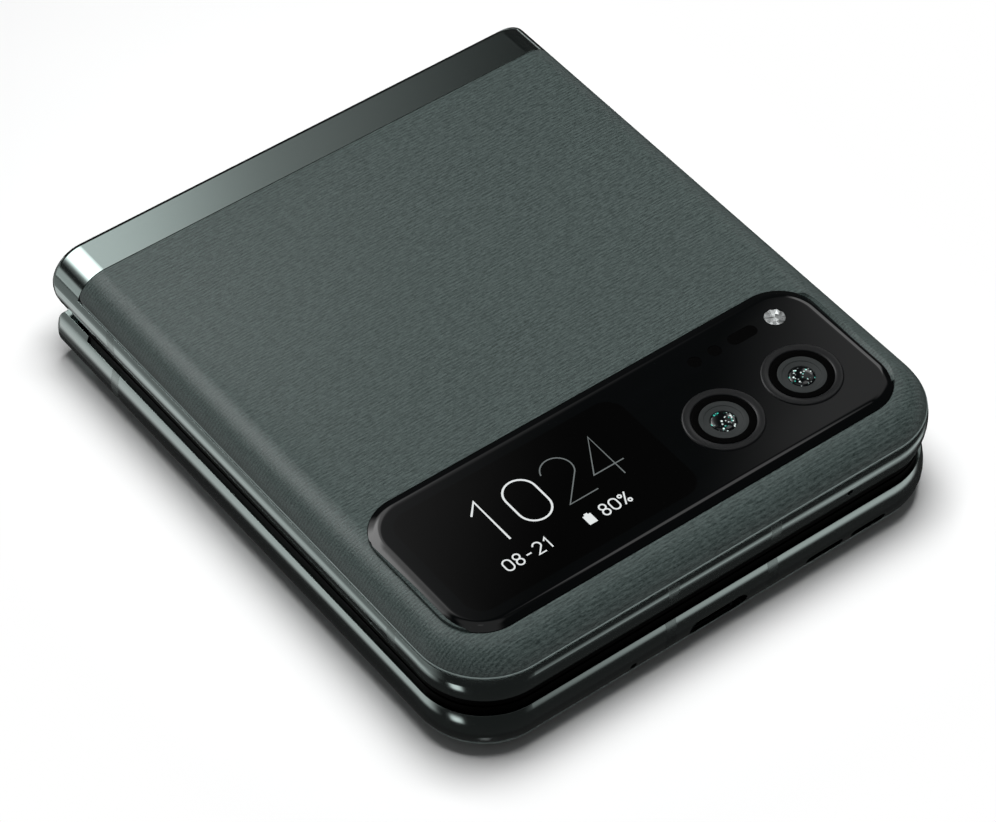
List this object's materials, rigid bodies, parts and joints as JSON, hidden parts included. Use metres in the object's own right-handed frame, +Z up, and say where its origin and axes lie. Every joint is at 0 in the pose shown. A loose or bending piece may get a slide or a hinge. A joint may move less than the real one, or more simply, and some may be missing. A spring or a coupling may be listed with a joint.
{
  "type": "foldable smartphone",
  "caption": "Clamshell phone that folds in half on a two-axis hinge, with leather backs, satin metal edges and a black cover window with cameras.",
  "frame": {"origin": "middle of the bottom of the closed phone's box, on the surface it lies on", "axes": "+Z up through the closed phone, +Y from the front edge with the charging port towards the hinge, +X to the side with the keys"},
  "size_m": [0.074, 0.0882, 0.0177],
  "materials": {
    "frame": "satin anodised",
    "spine": "satin anodised",
    "antenna_plastic": "satin",
    "leather": "fine embossed grain",
    "cover_plastic": "matt",
    "rim": "satin",
    "display": "glossy film",
    "display_steel": "fine",
    "battery_foil": "foil",
    "copper": "bare",
    "board": "solder mask",
    "steel": "stamped",
    "magnet": "plated",
    "module_plastic": "matt",
    "contact_gold": "plated",
    "black_glass": "polished",
    "lens_glass": "coated",
    "ring_metal": "black anodised",
    "flash_lens": "faceted"
  },
  "bodies": {
    "base": {"base_frame": "frame", "base_antenna_bands": "antenna_plastic", "base_leather": "leather", "base_back_cover": "cover_plastic", "base_battery": "battery_foil", "charging_coil": "copper", "base_bezel": "rim", "base_display": "display", "base_display_plate": "display_steel", "sub_board": "board", "usb_shell": "steel", "usb_tongue": "module_plastic", "loudspeaker": "module_plastic", "speaker_mesh": "steel", "vibration_motor": "steel", "base_microphone": "contact_gold", "base_screws": "steel", "base_magnets": "magnet", "base_hinge_arms": "steel"},
    "spine": {"hinge_spine": "spine", "hinge_housings": "steel", "hinge_pins": "steel", "hinge_springs": "steel", "display_fold": "display"},
    "cam_slider": {"cam_sliders": "contact_gold"},
    "flip": {"flip_frame": "frame", "flip_antenna_bands": "antenna_plastic", "flip_leather": "leather", "flip_back_cover": "cover_plastic", "flip_battery": "battery_foil", "flip_bezel": "rim", "flip_display": "display", "flip_display_plate": "display_steel", "flip_hinge_arms": "steel", "main_board": "board", "board_shields": "steel", "flip_screws": "steel", "flip_magnets": "magnet", "tray_holder": "steel", "glass_seat": "cover_plastic", "cover_glass": "black_glass", "cover_display": "display", "main_camera": "module_plastic", "wide_camera": "module_plastic", "main_camera_ring": "ring_metal", "wide_camera_ring": "ring_metal", "main_lens": "lens_glass", "wide_lens": "lens_glass", "flash_led": "flash_lens", "light_sensor": "lens_glass", "cover_microphone": "module_plastic", "focus_window": "lens_glass", "earpiece": "module_plastic", "inner_camera": "lens_glass", "key_contacts": "contact_gold"},
    "card_tray": {"sim_tray": "frame"},
    "side_key": {"power_key": "frame"},
    "volume_rocker": {"volume_key": "frame"}
  },
  "joints": [
    {"name": "lower_hinge", "type": "hinge", "parent": "base", "child": "spine", "pos_m": [0, 0.03909, 0.0062], "axis": [-1, 0, 0], "range_deg": [0, 90], "deforming": ["display_fold"]},
    {"name": "upper_hinge", "type": "hinge", "parent": "spine", "child": "flip", "pos_m": [0, 0.03909, 0.0108], "axis": [-1, 0, 0], "range_deg": [0, 90]},
    {"name": "cam_slide", "type": "slide", "parent": "spine", "child": "cam_slider", "axis": [1, 0, 0], "range_m": [0, 0.0012]},
    {"name": "tray_slide", "type": "slide", "parent": "flip", "child": "card_tray", "axis": [-1, 0, 0], "range_m": [0, 0.018]},
    {"name": "side_key_press", "type": "slide", "parent": "flip", "child": "side_key", "axis": [-1, 0, 0], "range_m": [0, 0.0003], "stiffness_N_per_m": 3000},
    {"name": "volume_rock", "type": "hinge", "parent": "flip", "child": "volume_rocker", "pos_m": [0.03508, -0.00512, 0.01255], "axis": [0, 0, 1], "range_deg": [-1.2, 1.2], "stiffness_Nm_per_rad": 0.5}
  ],
  "couplings": [
    {"joint": "upper_hinge", "follows": "lower_hinge", "ratio": 1},
    {"joint": "cam_slide", "follows": "lower_hinge", "m_per_rad": 0.00076}
  ]
}
